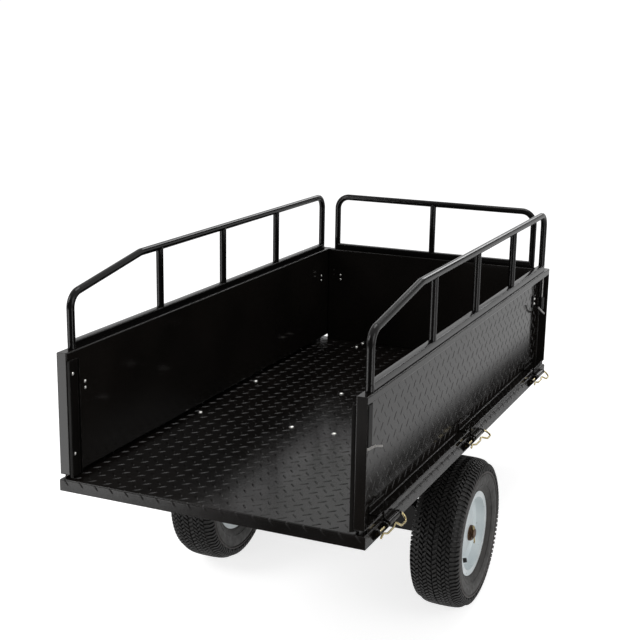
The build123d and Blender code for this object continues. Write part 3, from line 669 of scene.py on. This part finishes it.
for side, sign in SIDES:
    middle = Vector((sign * AXLE_END, WHEEL[side].y, WHEEL[side].z))
    down = Vector((0.0, math.sin(PIN_TILT), -math.cos(PIN_TILT)))
    across = Vector((0.0, math.cos(PIN_TILT), math.sin(PIN_TILT)))

    def pin_point(below, beside, middle=middle, down=down, across=across):
        return middle + down * below + across * beside

    eye = [pin_point(-0.0205 - PIN_EYE * math.cos(b), PIN_EYE * math.sin(b))
           for b in (math.radians(d) for d in range(-150, 151, 25))]
    legs = [pin_point(0.0330, -PIN_WIRE), pin_point(-0.0160, -PIN_WIRE), *eye,
            pin_point(-0.0160, PIN_WIRE), pin_point(0.0300, PIN_WIRE)]
    bent_end = [pin_point(0.0180, -PIN_WIRE), pin_point(0.0230, -0.0020), pin_point(0.0290, -0.0062)]
    finish_mesh(side + "_split_pin", join_lists([wire(legs, PIN_WIRE), wire(bent_end, PIN_WIRE)]),
                YELLOW, "chassis")

# ------------------------------------------------------------------ camera
cam_data = bpy.data.cameras.new("camera")
cam = bpy.data.objects.new("camera", cam_data)
bpy.context.scene.collection.objects.link(cam)
# its axes and place, given in the bed's frame
cam_right = BED_TURN @ Vector((0.91343, 0.40663, 0.01702))
cam_up = BED_TURN @ Vector((-0.11562, 0.21917, 0.96881))
cam_back = BED_TURN @ Vector((0.39022, -0.88691, 0.24721))
cam_place = BED @ Vector((1.2895, -2.2998, 1.1080))
cam.matrix_world = Matrix((
    (cam_right.x, cam_up.x, cam_back.x, cam_place.x),
    (cam_right.y, cam_up.y, cam_back.y, cam_place.y),
    (cam_right.z, cam_up.z, cam_back.z, cam_place.z),
    (0.0, 0.0, 0.0, 1.0),
))
cam_data.sensor_width = 36.0
cam_data.lens = 70.77
cam_data.shift_x = -0.0019
cam_data.shift_y = 0.0174
bpy.context.scene.camera = cam

# ------------------------------------------------------------------ room and lamps
WHITE = (1.0, 1.0, 1.0, 1.0)
SOFT = "SMOOTHSTEP"

world = bpy.data.worlds.new("studio")
world.use_nodes = True
bpy.context.scene.world = world
g = Graph(world.node_tree)
# white to the eye, and dimmer as light on the trailer
ray = g.add("ShaderNodeLightPath").outputs
seen = g.math("MAXIMUM", ray["Is Camera Ray"], ray["Is Glossy Ray"])
seen = g.math("MAXIMUM", seen, ray["Is Transmission Ray"])
strength = g.span(seen, 0.45, 1.0, 0.0, 1.0)
# mirrored in the paint, the room is dark behind the camera, and has a black card low down ahead on
# the right and an upright strip lamp straight ahead
heading = g.add("ShaderNodeTexCoord").outputs["Generated"]


def toward(direction, outer, inner, low, high):
    """Strength seen along the world direction, going from low to high between the two cosines."""
    return g.span(g.dot(heading, Vector(direction).normalized()), low, high, outer, inner, SOFT)


room = toward((0.0, 1.0, 0.0), -0.75, -0.15, 0.10, 0.75)
black_card = toward((0.30, 0.94, 0.16), 0.978, 0.990, 1.0, 0.05)
strip_foot = toward((0.0, 0.975, 0.22), 0.990, 0.9965, 0.0, 4.0)
strip_head = toward((0.0, 0.930, 0.36), 0.990, 0.9965, 0.0, 4.0)
strip = g.math("MAXIMUM", strip_foot, strip_head)
pick = g.add("ShaderNodeMix")
g.link(ray["Is Glossy Ray"], pick.inputs["Factor"])
g.link(strength, pick.inputs["A"])
g.link(g.math("ADD", g.math("MULTIPLY", room, black_card), strip), pick.inputs["B"])
sky = g.add("ShaderNodeBackground")
sky.inputs["Color"].default_value = WHITE
g.link(pick.outputs["Result"], sky.inputs["Strength"])
world_out = g.add("ShaderNodeOutputWorld")
g.link(sky.outputs[0], world_out.inputs["Surface"])


def lamp(name, place, target, size, power):
    data = bpy.data.lights.new(name, "AREA")
    data.shape = "SQUARE"
    data.size = size
    data.energy = power
    obj = bpy.data.objects.new(name, data)
    bpy.context.scene.collection.objects.link(obj)
    obj.location = place
    obj.visible_camera = False
    obj.rotation_mode = "QUATERNION"
    obj.rotation_quaternion = (Vector(target) - Vector(place)).to_track_quat("-Z", "Y")


lamp("key", (-2.6, -2.4, 3.2), (0, -0.2, 0.5), 1.6, 50)
lamp("fill", (3.2, -1.2, 2.2), (0, -0.2, 0.5), 1.8, 25)
lamp("top", (0.2, 0.8, 3.6), (0, -0.2, 0.4), 1.6, 30)
lamp("low left", (-1.75, -2.9, 0.45), (0, -0.8, 0.5), 1.3, 23)
lamp("low right", (2.6, -1.6, 0.35), (0.4, -0.4, 0.25), 0.9, 10)

# ------------------------------------------------------------------ floor
# pale, white to the eye, and it keeps the trailer's shadow
floor_mesh = bpy.data.meshes.new("studio_floor")
floor_mesh.from_pydata([(-40, -40, 0), (40, -40, 0), (40, 40, 0), (-40, 40, 0)], [], [(0, 1, 2, 3)])
floor = bpy.data.objects.new("studio_floor", floor_mesh)
bpy.context.scene.collection.objects.link(floor)
stage = bpy.data.materials.new("pale_floor")
stage.use_nodes = True
g = Graph(stage.node_tree)
ray = g.add("ShaderNodeLightPath").outputs
diffuse = g.add("ShaderNodeBsdfDiffuse")
diffuse.inputs["Color"].default_value = (0.62, 0.62, 0.62, 1.0)
glow = g.add("ShaderNodeEmission")
glow.inputs["Color"].default_value = WHITE
g.link(g.span(ray["Is Camera Ray"], 0.0, 0.75, 0.0, 1.0), glow.inputs["Strength"])
both = g.add("ShaderNodeAddShader")
g.link(diffuse.outputs[0], both.inputs[0])
g.link(glow.outputs[0], both.inputs[1])
# mirrored in the paint, it darkens behind the tail, less so on the left
spot = g.add("ShaderNodeNewGeometry").outputs["Position"]
split = g.add("ShaderNodeSeparateXYZ")
g.link(spot, split.inputs[0])
behind = g.span(split.outputs["Y"], 0.05, 0.78, -2.9, -1.7, SOFT)
leftward = g.span(split.outputs["X"], 0.55, 0.0, -1.7, -0.5, SOFT)
lighter = g.math("MAXIMUM", behind, leftward)
# and it has a dark strip along the trailer, which shows in the lower part of the right panel
off_side = g.dot(spot, (1.0, 0.175, 0.0))
near_side = g.span(off_side, 1.0, 0.05, 0.735, 0.765, SOFT)
far_side = g.span(off_side, 0.05, 1.0, 0.805, 0.915, SOFT)
dark_strip = g.math("MAXIMUM", near_side, far_side)
mirrored = g.add("ShaderNodeEmission")
g.link(g.math("MULTIPLY", lighter, dark_strip), mirrored.inputs["Strength"])
chosen = g.add("ShaderNodeMixShader")
g.link(ray["Is Glossy Ray"], chosen.inputs[0])
g.link(both.outputs[0], chosen.inputs[1])
g.link(mirrored.outputs[0], chosen.inputs[2])
floor_out = g.add("ShaderNodeOutputMaterial")
g.link(chosen.outputs[0], floor_out.inputs["Surface"])
floor_mesh.materials.append(stage)

scene = bpy.context.scene
scene.view_settings.view_transform = "Standard"
